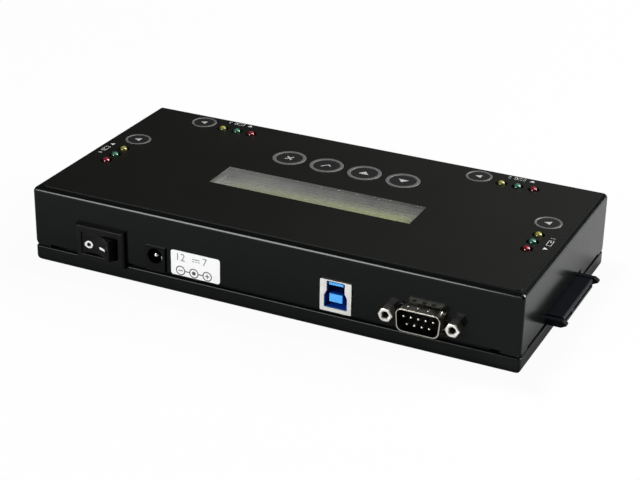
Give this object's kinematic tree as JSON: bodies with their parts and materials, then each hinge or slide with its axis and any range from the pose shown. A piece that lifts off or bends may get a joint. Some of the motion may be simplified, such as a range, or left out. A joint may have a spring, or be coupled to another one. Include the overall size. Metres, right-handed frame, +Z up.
{
  "type": "hard drive eraser",
  "caption": "Low black steel desk box that wipes plug-in hard drives: drive sockets on its sides, display, keypad and lamps on top, rocker switch and data sockets on the panel.",
  "frame": {"origin": "centre of the footprint's bounding box, on the surface under the feet", "axes": "+X along the case towards drive socket 1, -Y out of the connector panel, +Z up"},
  "size_m": [0.2118, 0.109, 0.0346],
  "materials": {
    "case_paint": "satin black powder paint",
    "overlay_film": "satin printed polyester film",
    "clear_window": "clear polished sheet",
    "display_glass": "reflective yellow-green display",
    "display_frame": "dull plated steel",
    "backlight": "light guide",
    "circuit_board": "black solder mask",
    "plated_steel": "zinc plated",
    "black_screw": "black oxide",
    "nickel": "bright nickel plate",
    "contact_metal": "gold flash",
    "foot_rubber": "matte",
    "key_plastic": "dark satin key with a grey printed ring",
    "lamp_yellow": "tinted clear resin",
    "lamp_green": "tinted clear resin",
    "lamp_red": "tinted clear resin",
    "black_nylon": "moulded nylon",
    "switch_plastic": "black moulded plastic",
    "socket_plastic": "black moulded plastic",
    "usb_plastic": "blue moulded plastic",
    "label_paper": "white coated label",
    "can_aluminium": "bright",
    "ferrite": "dark grey",
    "wire_cover": "black wire insulation"
  },
  "bodies": {
    "case": {"bottom_tray": "case_paint", "top_cover": "case_paint", "top_overlay": "overlay_film", "display_window": "clear_window", "lcd_glass": "display_glass", "lcd_bezel": "display_frame", "lcd_backlight": "backlight", "lcd_board": "circuit_board", "main_board": "circuit_board", "control_board": "circuit_board", "lower_standoffs": "plated_steel", "upper_standoffs": "plated_steel", "cover_posts": "plated_steel", "control_board_screws": "plated_steel", "lcd_screws": "plated_steel", "cover_screws": "black_screw", "usb_shell": "nickel", "serial_shell": "nickel", "serial_jackscrews": "nickel", "dc_jack_pin": "nickel", "dc_jack_contact": "nickel", "serial_pins": "contact_metal", "usb_contacts": "contact_metal", "drive_contacts": "contact_metal", "switch_terminals": "contact_metal", "rubber_feet": "foot_rubber", "leds_yellow": "lamp_yellow", "leds_green": "lamp_green", "leds_red": "lamp_red", "led_spacers": "black_nylon", "lcd_spacers": "black_nylon", "lcd_header": "black_nylon", "stacking_header": "black_nylon", "tact_switches": "black_nylon", "controller_chips": "black_nylon", "switch_housing": "switch_plastic", "dc_jack_body": "socket_plastic", "serial_insulator": "socket_plastic", "drive_port_1": "socket_plastic", "drive_port_2": "socket_plastic", "drive_port_3": "socket_plastic", "drive_port_4": "socket_plastic", "usb_insert": "usb_plastic", "power_label": "label_paper", "power_capacitors": "can_aluminium", "power_inductors": "ferrite", "switch_leads": "wire_cover"},
    "rocker": {"switch_rocker": "switch_plastic"},
    "escape_button": {"key_escape": "key_plastic"},
    "enter_button": {"key_enter": "key_plastic"},
    "down_button": {"key_down": "key_plastic"},
    "up_button": {"key_up": "key_plastic"},
    "start_button_1": {"start_key_1": "key_plastic"},
    "start_button_2": {"start_key_2": "key_plastic"},
    "start_button_3": {"start_key_3": "key_plastic"},
    "start_button_4": {"start_key_4": "key_plastic"}
  },
  "joints": [
    {"name": "rocker_tilt", "type": "hinge", "parent": "case", "child": "rocker", "pos_m": [-0.0681, -0.04845, 0.0154], "axis": [0, 0, 1], "range_deg": [0, 26]},
    {"name": "escape_button_press", "type": "slide", "parent": "case", "child": "escape_button", "axis": [0, 0, -1], "range_m": [0, 0.0004], "stiffness_N_per_m": 1500, "springref_m": -0.0004},
    {"name": "enter_button_press", "type": "slide", "parent": "case", "child": "enter_button", "axis": [0, 0, -1], "range_m": [0, 0.0004], "stiffness_N_per_m": 1500, "springref_m": -0.0004},
    {"name": "down_button_press", "type": "slide", "parent": "case", "child": "down_button", "axis": [0, 0, -1], "range_m": [0, 0.0004], "stiffness_N_per_m": 1500, "springref_m": -0.0004},
    {"name": "up_button_press", "type": "slide", "parent": "case", "child": "up_button", "axis": [0, 0, -1], "range_m": [0, 0.0004], "stiffness_N_per_m": 1500, "springref_m": -0.0004},
    {"name": "start_button_1_press", "type": "slide", "parent": "case", "child": "start_button_1", "axis": [0, 0, -1], "range_m": [0, 0.0004], "stiffness_N_per_m": 1500, "springref_m": -0.0004},
    {"name": "start_button_2_press", "type": "slide", "parent": "case", "child": "start_button_2", "axis": [0, 0, -1], "range_m": [0, 0.0004], "stiffness_N_per_m": 1500, "springref_m": -0.0004},
    {"name": "start_button_3_press", "type": "slide", "parent": "case", "child": "start_button_3", "axis": [0, 0, -1], "range_m": [0, 0.0004], "stiffness_N_per_m": 1500, "springref_m": -0.0004},
    {"name": "start_button_4_press", "type": "slide", "parent": "case", "child": "start_button_4", "axis": [0, 0, -1], "range_m": [0, 0.0004], "stiffness_N_per_m": 1500, "springref_m": -0.0004}
  ]
}
